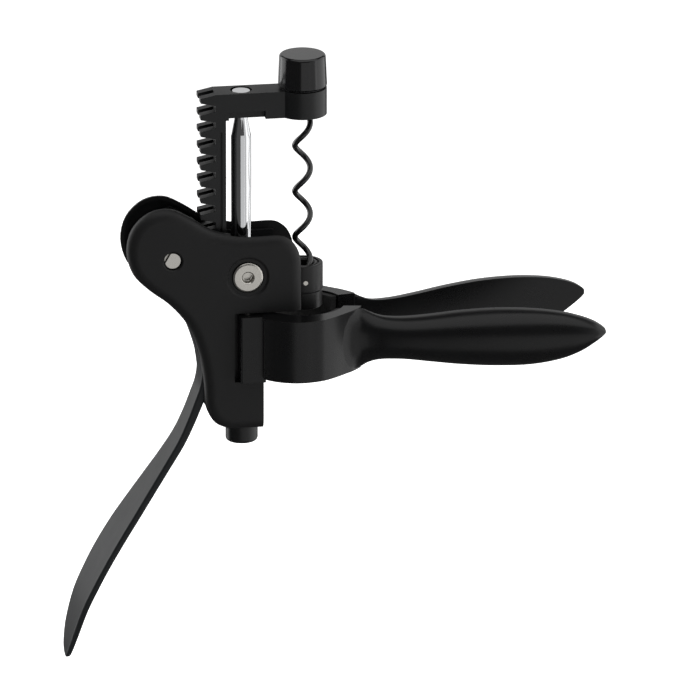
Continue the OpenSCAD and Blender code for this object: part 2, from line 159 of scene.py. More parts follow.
# Width of the clouds in colour and roughness, in millimetres
CLOUD_WIDTH = 14


def add_node(tree, kind, settings=None, links=None):
    """Adds a shader node. Settings name its properties and input values, links its inputs' sources."""
    node = tree.nodes.new(kind)
    for key, value in (settings or {}).items():
        if isinstance(key, str) and hasattr(node, key):
            setattr(node, key, value)
        else:
            node.inputs[key].default_value = value
    for key, source in (links or {}).items():
        tree.links.new(source, node.inputs[key])
    return node


def finish_material(name, colour, rough, metal=0.0, grain=0.3, depth=0.01, spread=0.05, mottle=0.12,
                    stretch=(1, 1, 1), **shader):
    """A finish on Object coordinates: fine grain as bump, and cloudy change in colour and roughness.

    grain and depth are the grain's width and height in millimetres, spread is how far the roughness
    wanders and mottle how far the colour does. stretch scales the grain's coordinates, so a value
    under 1 draws it out along that axis."""
    material = bpy.data.materials.new(name)
    material.use_nodes = True
    tree = material.node_tree
    shade = tree.nodes["Principled BSDF"]
    shade.inputs["Metallic"].default_value = metal
    for key, value in shader.items():
        shade.inputs[key.replace("_", " ")].default_value = value
    place = add_node(tree, "ShaderNodeTexCoord").outputs["Object"]
    drawn = add_node(tree, "ShaderNodeMapping", {"Scale": stretch}, {"Vector": place}).outputs[0]
    fine = add_node(
        tree, "ShaderNodeTexNoise", {"Scale": 1 / (grain * MM), "Detail": 3.0}, {"Vector": drawn}
    )
    cloud = add_node(
        tree, "ShaderNodeTexNoise", {"Scale": 1 / (CLOUD_WIDTH * MM), "Detail": 2.0}, {"Vector": place}
    )
    both = add_node(
        tree, "ShaderNodeMath", {"operation": "ADD"},
        {0: fine.outputs["Fac"], 1: cloud.outputs["Fac"]}
    )
    roughness = add_node(
        tree, "ShaderNodeMapRange",
        {"From Min": 0.6, "From Max": 1.4, "To Min": rough - spread, "To Max": rough + spread},
        {"Value": both.outputs[0]}
    )
    tree.links.new(roughness.outputs[0], shade.inputs["Roughness"])
    darker = [c * (1 - mottle) for c in colour[:3]] + [1]
    lighter = [min(1, c * (1 + mottle)) for c in colour[:3]] + [1]
    shades = add_node(
        tree, "ShaderNodeMix", {"data_type": "RGBA", MIX_DARK: darker, MIX_LIGHT: lighter},
        {"Factor": cloud.outputs["Fac"]}
    )
    tree.links.new(shades.outputs[MIX_COLOUR], shade.inputs["Base Color"])
    bump = add_node(
        tree, "ShaderNodeBump", {"Strength": 1.0, "Distance": depth * MM}, {"Height": fine.outputs["Fac"]}
    )
    tree.links.new(bump.outputs["Normal"], shade.inputs["Normal"])
    return material


def soft_touch_abs():
    """ABS moulding under soft-touch lacquer: very dark, with a broad dull sheen and no clear highlight."""
    return finish_material("soft_touch_abs", colours().soft_touch, 0.55, grain=0.25, depth=0.005,
                           IOR=1.47, Specular_IOR_Level=0.4)


def moulded_nylon():
    """Glass-filled nylon from a polished mould: black, with long soft highlights."""
    return finish_material("moulded_nylon", colours().handle, 0.29, grain=0.6, depth=0.0005,
                           spread=0.03, IOR=1.5, Specular_IOR_Level=0.3)


def coated_zinc():
    """Zinc die casting with a black coating: satin, a little pebbled, lighter where it faces the light."""
    return finish_material("coated_zinc", colours().cast, 0.4, grain=0.35, depth=0.006, IOR=1.5,
                           Specular_IOR_Level=0.35)


def lever_coating():
    """Powder-like satin paint on the cast lever: dark grey, with a fine even grain."""
    return finish_material("lever_coating", colours().lever, 0.38, grain=0.22, depth=0.003,
                           mottle=0.08, IOR=1.5, Specular_IOR_Level=0.2)


def worm_coating():
    """Fluoropolymer coating baked on the steel worm: deep black and glossy."""
    return finish_material("worm_coating", colours().worm, 0.2, grain=0.4, depth=0.003, IOR=1.45,
                           Coat_Weight=0.3, Coat_Roughness=0.12)


def gloss_abs():
    """ABS from a mirror-polished mould: black, with crisp reflections."""
    return finish_material("gloss_abs", colours().cap, 0.16, grain=1.5, depth=0.001, spread=0.03,
                           mottle=0.05, IOR=1.54, Specular_IOR_Level=0.4)


def turned_acetal():
    """Turned acetal: satin black, with faint rings from the tool."""
    return finish_material("turned_acetal", colours().nut, 0.38, grain=0.25, depth=0.003,
                           stretch=(0.2, 0.2, 2), IOR=1.48, Specular_IOR_Level=0.4)


def chrome_plate():
    """Polished chrome plating: a clear mirror with the faintest haze."""
    return finish_material("chrome_plate", colours().chrome, 0.07, metal=1.0, grain=0.6, depth=0.0006,
                           spread=0.02, mottle=0.02)


def brushed_nickel():
    """Nickel plating on a barrel-finished screw head: bright and cloudy, with a fine dimpled grain."""
    return finish_material("brushed_nickel", colours().steel, 0.25, metal=1.0, grain=0.8, depth=0.03,
                           spread=0.1, mottle=0.2)


def turned_steel():
    """Bright turned steel: clean metal with a fine grain from the tool."""
    return finish_material("turned_steel", colours().steel, 0.26, metal=1.0, grain=0.3, depth=0.003,
                           spread=0.08, mottle=0.06)


def sintered_steel():
    """Sintered steel gear, oil blackened: dark metal with open pores."""
    return finish_material("sintered_steel", srgb("#3b3b3d"), 0.45, metal=0.8, grain=0.3, depth=0.012,
                           spread=0.1, mottle=0.2)


def oiled_bronze():
    """Sintered bronze bush soaked in oil: brown gold with dark pores."""
    return finish_material("oiled_bronze", srgb("#9a7442"), 0.38, metal=1.0, grain=0.2, depth=0.008,
                           mottle=0.2)


def pad_rubber():
    """Moulded rubber pad: flat black, almost without shine."""
    return finish_material("pad_rubber", srgb("#1d1d1d"), 0.75, grain=0.4, depth=0.02, IOR=1.5)


# ---- Shapes, worked in millimetres ----


def spline(points, steps):
    """An open smooth curve through points of any dimension, with steps points to a span."""
    ends = [points[0], *points, points[-1]]
    curve = []
    for a, b, c, d in zip(ends, ends[1:], ends[2:], ends[3:]):
        for k in range(steps):
            t = k / steps
            curve.append(tuple(
                0.5 * (2 * q + (r - p) * t + (2 * p - 5 * q + 4 * r - s) * t * t
                       + (3 * q - p - 3 * r + s) * t ** 3)
                for p, q, r, s in zip(a, b, c, d)
            ))
    return curve + [tuple(points[-1])]


def rounded(corners, steps=5):
    """A line through corners (a, b, radius), with an arc at each corner whose radius isn't zero."""
    line = []
    for i, (a, b, radius) in enumerate(corners):
        here = Vector((a, b))
        if radius == 0:
            line.append((a, b))
            continue
        before = (Vector(corners[i - 1][:2]) - here).normalized()
        after = (Vector(corners[(i + 1) % len(corners)][:2]) - here).normalized()
        half = math.acos(max(-1, min(1, before.dot(after)))) / 2
        centre = here + (before + after).normalized() * (radius / math.sin(half))
        start = here + before * (radius / math.tan(half)) - centre
        turn = (math.pi - 2 * half) * (1 if start.x * before.y - start.y * before.x < 0 else -1)
        for k in range(steps + 1):
            line.append(tuple(centre + Matrix.Rotation(turn * k / steps, 2) @ start))
    return line


def join_doubles(bm):
    bmesh.ops.remove_doubles(bm, verts=bm.verts, dist=WELD_NEW)
    bmesh.ops.recalc_face_normals(bm, faces=bm.faces)
    return bm


def slab(outline, low, high, along="Z"):
    """A flat shape extruded along an axis: an outline of (x, y) along Z, or of (x, z) along Y."""
    bm = bmesh.new()
    at = (lambda p: (p[0], p[1], low)) if along == "Z" else (lambda p: (p[0], low, p[1]))
    face = bm.faces.new([bm.verts.new(at(p)) for p in outline])
    moved = bmesh.ops.extrude_face_region(bm, geom=[face])["geom"]
    travel = (0, 0, high - low) if along == "Z" else (0, high - low, 0)
    bmesh.ops.translate(bm, verts=[v for v in moved if isinstance(v, bmesh.types.BMVert)], vec=travel)
    bmesh.ops.recalc_face_normals(bm, faces=bm.faces)
    return bm


def block(x, z, low, high):
    """A box between two x and two z, from one y to another."""
    (left, right), (foot, head) = x, z
    return slab([(left, foot), (right, foot), (right, head), (left, head)], low, high, "Y")


def lathe(profile, steps=96):
    """A turned shape about Z from a line of (radius, height)."""
    bm = bmesh.new()
    verts = [bm.verts.new((r, 0, z)) for r, z in profile]
    edges = [bm.edges.new(pair) for pair in zip(verts, verts[1:])]
    bmesh.ops.spin(bm, geom=verts + edges, cent=(0, 0, 0), axis=(0, 0, 1), angle=FULL_TURN, steps=steps,
                   use_merge=True)
    return join_doubles(bm)


def rod(radius, low, high, edge=0.15, steps=64):
    """A plain round bar about Z with rounded ends."""
    return lathe(rounded([(0, low, 0), (radius, low, edge), (radius, high, edge), (0, high, 0)], 2), steps)


def loft(rings):
    """A closed skin bridged through rings of points."""
    bm = bmesh.new()
    loops = []
    for ring in rings:
        verts = [bm.verts.new(p) for p in ring]
        loops.append([bm.edges.new((a, b)) for a, b in zip(verts, verts[1:] + verts[:1])])
    for a, b in zip(loops, loops[1:]):
        bmesh.ops.bridge_loops(bm, edges=a + b)
    bmesh.ops.edgeloop_fill(bm, edges=loops[0])
    bmesh.ops.edgeloop_fill(bm, edges=loops[-1])
    bmesh.ops.recalc_face_normals(bm, faces=bm.faces)
    return bm


def shift(bm, x=0.0, y=0.0, z=0.0):
    bmesh.ops.translate(bm, verts=bm.verts, vec=(x, y, z))
    return bm


def lay_along_y(bm):
    """Turns a shape about Z so that it points along -Y."""
    bmesh.ops.rotate(bm, verts=bm.verts, matrix=Matrix.Rotation(math.radians(90), 3, "X"))
    return bm


def set_across(bm, place):
    """Lays a shape about Z across the body, on the axis of a place."""
    return shift(lay_along_y(bm), x=place.middle.x, z=place.middle.z)


def combine(bm, other, operation):
    """The union, difference or intersection of two closed shapes, as a new bmesh."""
    holders = []
    for shape in (bm, other):
        mesh = bpy.data.meshes.new("working")
        shape.to_mesh(mesh)
        shape.free()
        holder = bpy.data.objects.new("working", mesh)
        bpy.context.scene.collection.objects.link(holder)
        holders.append(holder)
    base, tool = holders
    cut = base.modifiers.new("cut", "BOOLEAN")
    cut.operation = operation
    cut.solver = "EXACT"
    cut.object = tool
    bpy.context.view_layer.update()
    done = base.evaluated_get(bpy.context.evaluated_depsgraph_get()).to_mesh()
    result = bmesh.new()
    result.from_mesh(done)
    for holder in holders:
        mesh = holder.data
        bpy.data.objects.remove(holder)
        bpy.data.meshes.remove(mesh)
    bmesh.ops.remove_doubles(result, verts=result.verts, dist=WELD_CUT)
    bmesh.ops.dissolve_degenerate(result, edges=result.edges, dist=WELD_CUT)
    return result


def cut_away(bm, *cutters):
    for cutter in cutters:
        bm = combine(bm, cutter, "DIFFERENCE")
    return bm


def round_edges(bm, width, segments=2, angle=35, keep=None):
    """Rounds the edges whose faces meet at more than an angle, and that keep, if given, accepts."""
    sharp = [
        e for e in bm.edges
        if len(e.link_faces) == 2 and e.calc_face_angle(0) > math.radians(angle)
        and (keep is None or keep(e))
    ]
    bmesh.ops.bevel(bm, geom=sharp, offset=width, offset_type="OFFSET", segments=segments, profile=0.5,
                    affect="EDGES", clamp_overlap=True, material=-1)
    return bm


def rear_of(bm):
    """The mirror image of a shape, for the far side."""
    far = bm.copy()
    bmesh.ops.scale(far, verts=far.verts, vec=(1, -1, 1))
    bmesh.ops.reverse_faces(far, faces=far.faces)
    return far


def make_piece(bm, name, material, body, stands_for, angle=32):
    """Turns a shape in millimetres into a finished piece that rides on a CAD body.

    stands_for lists the CAD nodes it replaces, and angle is where its shading breaks, in degrees."""
    bmesh.ops.scale(bm, verts=bm.verts, vec=(MM, MM, MM))
    if any(not e.is_manifold for e in bm.edges):
        raise RuntimeError(f"{name} is not closed")
    mesh = bpy.data.meshes.new(name)
    bm.to_mesh(mesh)
    bm.free()
    mesh.materials.append(material)
    mesh.shade_smooth()
    mesh.set_sharp_from_angle(angle=math.radians(angle))
    piece = bpy.data.objects.new(name, mesh)
    bpy.context.scene.collection.objects.link(piece)
    level = piece.modifiers.new("even shading", "WEIGHTED_NORMAL")
    level.keep_sharp = True
    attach(piece, body)
    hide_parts(*stands_for)
    return piece


def cad_shape(node):
    """A CAD node's shape in millimetres, with its loose triangles joined."""
    bm = bmesh.new()
    bm.from_mesh(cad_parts[node].data)
    bmesh.ops.scale(bm, verts=bm.verts, vec=(1 / MM, 1 / MM, 1 / MM))
    bmesh.ops.remove_doubles(bm, verts=bm.verts, dist=WELD_CAD)
    return bm


def finish_faces(bm, width, segments=2):
    """Makes the flat faces whole again and rounds the edges between them."""
    bmesh.ops.dissolve_limit(bm, angle_limit=math.radians(FLAT_WITHIN), verts=bm.verts, edges=bm.edges)
    return round_edges(bm, width, segments)


def cad_copy(node, width, segments=2):
    """A CAD node's shape with rounded edges."""
    return finish_faces(cad_shape(node), width, segments)


# ---- Body ----

# Edge of a cover seen from the side, (x, z), from the nut end over the top and the gear lobe to its foot
COVER_EDGE = [
    (-1.9, 30), (-2.3, 36), (-4, 40.6), (-6.8, 43.8), (-11.3, 45.7), (-22, 45.6), (-30.4, 46.4),
    (-39.2, 49), (-48, 54.7), (-56, 58.4), (-64.6, 57), (-71.4, 50.4), (-73.6, 41), (-71, 31.4),
    (-64.3, 24.2), (-56, 17.6), (-48.6, 8.4), (-44, -4), (-42, -17), (-41.4, -26.4), (-37.6, -33.6),
    (-31.6, -36.5),
]
# Corner of the blank below the nut end, in the part that the window and the foot's end cut away
BLANK_CORNER = (-9, 5)
# How far the rounded edge reaches back from the face, and its steps
EDGE_DEPTH = 3.4
EDGE_STEPS = 12
# Window for the handle's knuckle, as x at its back and z at its foot and head
WINDOW = (-29.8, -15.9, 13.4)
FOOT_END = -17.9
# The mouth inside the lip: how far its wall slants and how deep it goes
MOUTH_SLANT, MOUTH_DEPTH = 0.02, 2.0
# Where the carriage's arm passes inside: x at its back, and how far out from the mirror plane
ARM_WAY = (-31, 10.2)
# A box past the cover's nut end, its top, its foot and its face, for cuts that run out of it
PAST_X, PAST_TOP, PAST_FOOT, PAST_Y = 5, 70, -60, -20
CUT_EDGE_ROUND = 0.8
# Rooms for the frame's hinge lugs above and below the window: x from and to, height, y from and to
LUG_ROOM_X = (-32.1, -17.8)
LUG_ROOM_HEIGHT = 4.2
LUG_ROOM_Y = (-11.6, -6)
AXLE_HOLE_RADIUS = 3.75
SCREW_SEAT_RADIUS = 6.55
SCREW_SHANK_RADIUS = 2.4
SCREW_SHANK_END = 6.6
SOCKET_RADIUS = 2.0
SOCKET_DEPTH = 3.2


def on_line(value, line):
    """Whether a coordinate lies on a line, within what a Boolean may move it."""
    return abs(value - line) < 0.01


def cover_shape():
    """The near cover: a plate with a rounded edge, open towards the frame, with its cut-outs."""
    s = sizes()
    corner_x, corner_z = BLANK_CORNER
    outline = [(COVER.high.x, corner_z)] + spline(COVER_EDGE, 4)
    outline += [(corner_x, COVER.low.z), (corner_x, corner_z)]
    lip, face_y = COVER.high.y, COVER.low.y
    bend, rise = s.cover_round / MM, EDGE_DEPTH
    bm = slab(outline, face_y + rise, lip, along="Y")
    bm.faces.ensure_lookup_table()
    outer = min(bm.faces, key=lambda f: f.calc_center_median().y)
    inner = max(bm.faces, key=lambda f: f.calc_center_median().y)
    for k in range(EDGE_STEPS):
        a, b = (math.radians(90 * q / EDGE_STEPS) for q in (k, k + 1))
        bmesh.ops.inset_region(bm, faces=[outer], use_even_offset=True,
                               thickness=bend * (math.cos(a) - math.cos(b)),
                               depth=rise * (math.sin(b) - math.sin(a)))
    bmesh.ops.inset_region(bm, faces=[inner], thickness=s.cover_wall / MM, use_even_offset=True)
    bmesh.ops.inset_region(bm, faces=[inner], thickness=MOUTH_SLANT, depth=-MOUTH_DEPTH, use_even_offset=True)
    back, foot, head = WINDOW
    way_x, way_y = ARM_WAY
    window = block((back, PAST_X), (foot, head), PAST_Y, 0)
    end = block((FOOT_END, PAST_X), (PAST_FOOT, foot + 1), PAST_Y, 0)
    arm_way = block((way_x, PAST_X), (PAST_FOOT, PAST_TOP), -way_y, 0)
    bm = cut_away(bm, window, end, arm_way)

    def on_cut(edge):
        """Whether an edge of the face runs along the window's head or the foot's end."""
        return all(v.co.y < face_y + 0.01 and (on_line(v.co.z, head) or on_line(v.co.x, FOOT_END))
                   for v in edge.verts)

    round_edges(bm, CUT_EDGE_ROUND, 4, 60, on_cut)
    return cut_away(bm, *cover_cutters())


def cover_cutters():
    """The axle hole, the dish round the screw and its seat, and the rooms for the hinge lugs."""
    s = sizes()
    face = -COVER.low.y
    rim, depth = s.dish_radius / MM, s.dish_depth / MM
    hole = lathe(rounded([
        (0, 4, 0), (AXLE_HOLE_RADIUS, 4, 0), (AXLE_HOLE_RADIUS, face - 0.5, 0.6), (5.2, face + 1, 0),
        (0, face + 1, 0)
    ]))
    dish = lathe(rounded([
        (0, face - depth, 0), (rim - 0.8, face - depth, 0.7), (rim, face, 0.8), (rim + 3, face + 0.6, 0),
        (0, face + 0.6, 0)
    ], 6))
    seat = lathe([(0, face - 3), (SCREW_SEAT_RADIUS, face - 3), (SCREW_SEAT_RADIUS, face), (0, face)])
    holes = [set_across(hole, AXLE), set_across(dish, COVER_SCREW), set_across(seat, COVER_SCREW)]
    _, foot, head = WINDOW
    for low in (head - 0.2, foot - 4):
        holes.append(block(LUG_ROOM_X, (low, low + LUG_ROOM_HEIGHT), *LUG_ROOM_Y))
    return holes


def cover_screw_shape():
    """A large low-headed screw with a hexagon socket."""
    radius, top = COVER_SCREW.size.x / 2, -COVER_SCREW.low.y
    bm = lathe(rounded([
        (0, SCREW_SHANK_END, 0), (SCREW_SHANK_RADIUS, SCREW_SHANK_END, 0.3),
        (SCREW_SHANK_RADIUS, top - 1.2, 0), (radius - 0.3, top - 1.2, 0.3),
        (radius, top - 0.35, 0.45), (radius - 0.9, top, 0.8), (2.6, top + 0.02, 0.3), (2.2, top - 0.5, 0.1),
        (2.1, top - 2.6, 0), (0, top - 2.9, 0)
    ], 4))
    corners = [math.radians(60 * k) for k in range(6)]
    hexagon = [(SOCKET_RADIUS * math.cos(a), SOCKET_RADIUS * math.sin(a)) for a in corners]
    return set_across(cut_away(bm, slab(hexagon, top - SOCKET_DEPTH, top + 1)), COVER_SCREW)


def cup_shape():
    """The plain cup that takes the rod's end, screwed into the frame's foot."""
    radius, low, top = CUP.size.x / 2, CUP.low.z, FRAME.low.z - 0.02
    spigot, bore, floor = 5.35, ROD.size.x / 2 + 0.3, low + 1.6
    bm = lathe(rounded([
        (0, low, 0), (radius, low, 1.5), (radius, top, 0.2), (spigot, top, 0), (spigot, CUP.high.z, 0.2),
        (bore, CUP.high.z, 0.2), (bore, floor, 0.2), (0, floor, 0)
    ], 6))
    return shift(bm, x=CUP.middle.x)


# ---- Lever ----

GEAR_TIP = 16.4
# The plate at the lever's axle: its radius, its bore and half its thickness
HUB_RADIUS, HUB_BORE, HUB_HALF = 11.7, 4.32, 1.78
# The web that joins that plate to the blade, (x, z)
WEB = [(-64, 30), (-54.4, 22.5), (-50, 13), (-43, 15.4), (-45.4, 24.6), (-45, 32)]

# Along the blade from the gear to its tip: x, z, thickness, width
LEVER_STATIONS = [
    (-50.6, 25, 9, 7), (-46.6, 14, 8, 11.5), (-43.2, 4, 7, 14.4), (-40.9, -5, 6, 15),
    (-40.2, -12, 5, 15), (-41.3, -19, 4.2, 15), (-43.7, -25.4, 3.7, 15), (-47.2, -34.1, 3.4, 15.4),
    (-51.2, -42.4, 3.2, 16.6), (-57.2, -51.9, 3, 19), (-63.4, -61.2, 2.9, 22.4), (-69.7, -70.7, 2.8, 26),
    (-76, -80.3, 2.7, 28.8), (-82, -90.3, 2.6, 30), (-87, -99.8, 2.6, 29.6), (-91.7, -110.1, 2.6, 27.6),
    (-95.2, -121.4, 2.5, 22.6), (-96.9, -129, 2.2, 15), (-97.4, -132.4, 1.8, 9), (-97.6, -134, 1.2, 3),
]


def lever_section(thickness, width, edge):
    """A flat bar's section, (across its thickness, along its width), with rounded corners."""
    t, w = thickness / 2, width / 2
    r = min(edge, 0.46 * thickness, 0.46 * width)
    corners = [(-t, -w, r), (t, -w, r), (t, w, r), (-t, w, r)]
    return rounded(corners, 5)


def gear_shape(node):
    """A gear with the tips of its teeth turned down to clear the cover's edge."""
    gear = Place(node)
    disc = shift(set_across(rod(GEAR_TIP, 0, gear.size.y + 2, 0, 128), AXLE), y=gear.high.y + 1)
    return finish_faces(combine(cad_shape(node), disc, "INTERSECT"), 0.16)


def lever_shape():
    """The lever: a lofted blade, and the plate that turns on the axle between the gears."""
    edge = sizes().lever_round / MM
    path = spline(LEVER_STATIONS, 4)
    rings = []
    for i, (x, z, thickness, width) in enumerate(path):
        before, after = path[max(i - 1, 0)], path[min(i + 1, len(path) - 1)]
        along = Vector((after[0] - before[0], after[1] - before[1])).normalized()
        across = Vector((-along.y, along.x))
        rings.append([
            (x + a * across.x, b, z + a * across.y) for a, b in lever_section(thickness, width, edge)
        ])
    hub = set_across(rod(HUB_RADIUS, -HUB_HALF, HUB_HALF, 0.2), AXLE)
    arm = combine(loft(rings), hub, "UNION")
    arm = combine(arm, slab(WEB, -HUB_HALF, HUB_HALF, "Y"), "UNION")
    return cut_away(arm, set_across(rod(HUB_BORE, -20, 20, 0), AXLE))


# ---- Worm ----

# Radius of the worm's centre line, its wire's thickness and how far it climbs in a turn
WORM_RADIUS = 3.1
WORM_WIRE = 2.4
WORM_LEAD = 19.5
# A height where the wire passes the front
WORM_FRONT_Z = 26.875
# How far the tip reaches below the nut, the stretch that is drawn to a point, and what is left there
TIP_BELOW_NUT = 5.5
POINT_LENGTH = 11
POINT_SHARE = 0.12
# The shank: its collar's radius, foot and top, and its own radius and top
COLLAR = (5.9, 93.9, 94.9)
SHANK = (4.6, 111.9)
# Sides and steps to a turn, of the worm's wire
WIRE_SIDES = 20
TURN_STEPS = 48


def coil(radius, wire, lead, low, high, start, sides, per_turn):
    """A coil about Z of round wire that starts at an angle, as rings left by a helical spin."""
    bm = bmesh.new()
    bmesh.ops.create_circle(bm, segments=sides, radius=wire / 2)
    lean = math.atan2(lead, FULL_TURN * radius)
    tilt = Matrix.Rotation(start, 3, "Z") @ Matrix.Rotation(math.pi / 2 + lean, 3, "X")
    bmesh.ops.rotate(bm, verts=bm.verts, matrix=tilt)
    shift(bm, x=radius * math.cos(start), y=radius * math.sin(start), z=low)
    turns = (high - low) / lead
    steps = round(turns * per_turn)
    first = list(bm.edges)
    last = bmesh.ops.spin(
        bm, geom=list(bm.verts) + first, cent=(0, 0, 0), axis=(0, 0, 1), dvec=(0, 0, (high - low) / steps),
        angle=FULL_TURN * turns, steps=steps
    )["geom_last"]
    bmesh.ops.edgeloop_fill(bm, edges=first)
    bmesh.ops.edgeloop_fill(bm, edges=[e for e in last if isinstance(e, bmesh.types.BMEdge)])
    bmesh.ops.recalc_face_normals(bm, faces=bm.faces)
    return bm


def worm_shape():
    """The worm: a coil of wire with a drawn point, run into a turned shank with a collar."""
    low = NUT.low.z - TIP_BELOW_NUT
    top = CARRIAGE.high.z - 8.5
    start = -math.pi / 2 + FULL_TURN * (low - WORM_FRONT_Z) / WORM_LEAD
    bm = coil(WORM_RADIUS, WORM_WIRE, WORM_LEAD, low, top, start, WIRE_SIDES, TURN_STEPS)
    # draw the wire down to a point over its last stretch
    for v in bm.verts:
        if v.co.z < low + POINT_LENGTH + WORM_WIRE:
            turn = math.atan2(v.co.y, v.co.x)
            guess = low + WORM_LEAD * ((turn - start) % FULL_TURN) / FULL_TURN
            height = guess if abs(guess - v.co.z) < WORM_LEAD / 2 else guess - WORM_LEAD
            centre = Vector((WORM_RADIUS * math.cos(turn), WORM_RADIUS * math.sin(turn), height))
            keep = min(1, POINT_SHARE + (1 - POINT_SHARE) * max(0, height - low) / POINT_LENGTH)
            v.co = centre + (v.co - centre) * keep
    collar, foot, step = COLLAR
    radius, end = SHANK
    shank = lathe(rounded([
        (0, foot, 0), (collar, foot, 0.2), (collar, step, 0.2), (radius, step, 0), (radius, end, 0),
        (0, end, 0)
    ], 2))
    return combine(bm, shank, "UNION")


def cap_shape():
    """The moulded cap on the worm's shank: a slight taper, a rounded rim and a small foot chamfer."""
    foot, rim, bore, bore_top = CAP.size.x / 2, 9.45, 4.62, 112
    bm = lathe(rounded([
        (0, CAP.low.z, 0), (foot - 0.55, CAP.low.z, 0.1), (foot, CAP.low.z + 0.6, 0.4),
        (rim, CAP.high.z, sizes().cap_round / MM), (0, CAP.high.z + 0.001, 0)
    ], 8), 128)
    return cut_away(bm, rod(bore, CAP.low.z - 1, bore_top, 0))


# ---- Nut ----

NUT_BORE = 4.6
PIN_RADIUS = 1.0
# The sunk seat round a pin: its radius and depth
SEAT_RADIUS, SEAT_DEPTH = 1.3, 0.25
# The front pin sits higher than the rear one
PIN_FRONT_Z = DRIVE_PINS.high.z - PIN_RADIUS
PIN_REAR_Z = DRIVE_PINS.low.z + PIN_RADIUS


def nut_shape():
    """The drive nut: a rounded rim, a ring groove in its top and a sunk seat round its pin."""
    radius, low, top = NUT.size.x / 2, NUT.low.z, NUT.high.z
    bm = lathe(rounded([
        (NUT_BORE, low, 0.1), (radius, low, 0.2), (radius, top, 0.35), (6.75, top, 0.15), (6.6, top - 0.8, 0),
        (6.0, top - 0.8, 0), (5.9, top - 0.15, 0.12), (5.15, top - 0.15, 0.12), (NUT_BORE, top - 0.9, 0.15),
        (NUT_BORE, low, 0)
    ], 3), 128)
    for z, side in ((PIN_FRONT_Z, -1), (PIN_REAR_Z, 1)):
        seat = lay_along_y(lathe([(0, 0), (SEAT_RADIUS, 0), (SEAT_RADIUS, 2), (0, 2)], 48))
        if side > 0:
            seat = rear_of(seat)
        bm = cut_away(bm, shift(seat, y=side * (radius - SEAT_DEPTH), z=z))
    return bm


def ring_shape():
    """The stop ring below the nut, with a thin neck where they meet."""
    radius, low, top = RING.size.x / 2, RING.low.z, RING.high.z
    bore, neck = NUT_BORE + 0.3, 0.5
    return lathe(rounded([
        (bore, low, 0.2), (radius, low, 0.6), (radius, top - neck, 0.3), (radius - neck, top - neck, 0),
        (radius - neck, top, 0), (bore, top, 0), (bore, low, 0)
    ], 4), 128)


# ---- Handles ----

# Plan of a jaw's outer face, (x, distance from the mirror plane)
JAW_EDGE = [
    (-18.8, 19.1), (-14.9, 22.7), (-9.7, 25.4), (-3.6, 26.4), (3.7, 25), (8.9, 22.1), (14.3, 17.7),
    (18.6, 14), (22, 10), (22.8, 8.2),
]
# Plan of its inner side from the grip to the hinge, (x, y); the bore takes most of it away
JAW_INNER = [(0, -10), (-14, -9.6), (-18.8, -9.6)]
JAW_BORE = 17.2
JAW_HALF = 13
# The hinge's block: x from and to, distance from the mirror plane from and to, z from and to
KNUCKLE = ((-27.9, -17.6), (9.4, 16.4), (-15.2, 12.8))
EYE_RADIUS = 2.9
HINGE_BORE = 1.65
# The jaws' mating faces stand this far from the mirror plane, and the grips spread from there
MATE_Y = 7.1
MATE_X = 17
HANDLE_SLOPE = math.tan(math.radians(9.5))

# Along a grip: x, underside, top, how far its outer crest and its flat shoulders lie from the mirror
# plane, and how its side falls between them: over 1 hollow, under 1 full
GRIP_STATIONS = [
    (8, -12.5, 12.5, 21.4, 20.6, 0.9), (12, -12.6, 12.6, 19.2, 18.2, 1.1),
    (15, -12.7, 12.7, 17.5, 16.0, 1.3), (18, -12.8, 12.8, 16.3, 13.8, 1.4),
    (21.2, -12.7, 12.8, 15.9, 10.6, 1.4), (23.4, -11.9, 12.1, 16.1, 9.5, 1.3),
    (25.6, -10.7, 11.0, 16.6, 9.3, 1.1), (28.6, -9.6, 9.7, 17.5, 9.6, 0.9),
    (32.5, -8.9, 8.9, 18.8, 10.2, 0.72), (40, -8.8, 8.8, 20.9, 11.4, 0.66),
    (50, -9.7, 9.8, 23.4, 13.1, 0.66), (62, -10.8, 11.4, 26.3, 15.1, 0.7),
    (76, -11.3, 12.5, 29.3, 17.5, 0.72), (90, -10.8, 12.4, 31.2, 19.8, 0.72),
    (102, -8.6, 11.2, 31.7, 21.8, 0.72), (110, -5.4, 9.4, 31.6, 23.2, 0.72),
    (115.5, -1.9, 7.4, 30.9, 24.1, 0.72), (118.8, 0.6, 5.4, 29.6, 24.6, 0.72),
    (120.4, 2.2, 4.0, 28.4, 24.9, 0.72),
]


def grip_inner(x):
    """How far a grip's inner face lies from the mirror plane: clear of the bore, then along the handle."""
    bore = math.sqrt(max(0, (JAW_BORE + 0.6) ** 2 - x * x))
    return max(bore, MATE_Y + 0.4 + (x - MATE_X) * HANDLE_SLOPE)


def grip_ring(x, under, top, crest, shoulder, fall):
    """A section with a flat inner face and a crowned outer side between two shoulders."""
    inner = grip_inner(x)
    half, middle = (top - under) / 2, (top + under) / 2
    shoulder = max(shoulder, inner + 0.1)
    # the inner face's corners are eased, and it has as many points at every station
    ease = min(0.8, 0.2 * half)
    steps, inner_steps = 36, 8
    ring = []
    for k in range(steps + 1):
        a = math.radians(-90 + 180 * k / steps)
        out = 0 if k in (0, steps) else math.cos(a) ** fall
        ring.append((x, -(shoulder + (crest - shoulder) * out), middle + half * math.sin(a)))
    for k in range(inner_steps + 1):
        ring.append((x, -inner, middle + (half - ease) * (1 - 2 * k / inner_steps)))
    return ring


def grip_shape():
    """The near grip, lofted through its sections."""
    return loft([grip_ring(*station) for station in spline(GRIP_STATIONS, 5)])


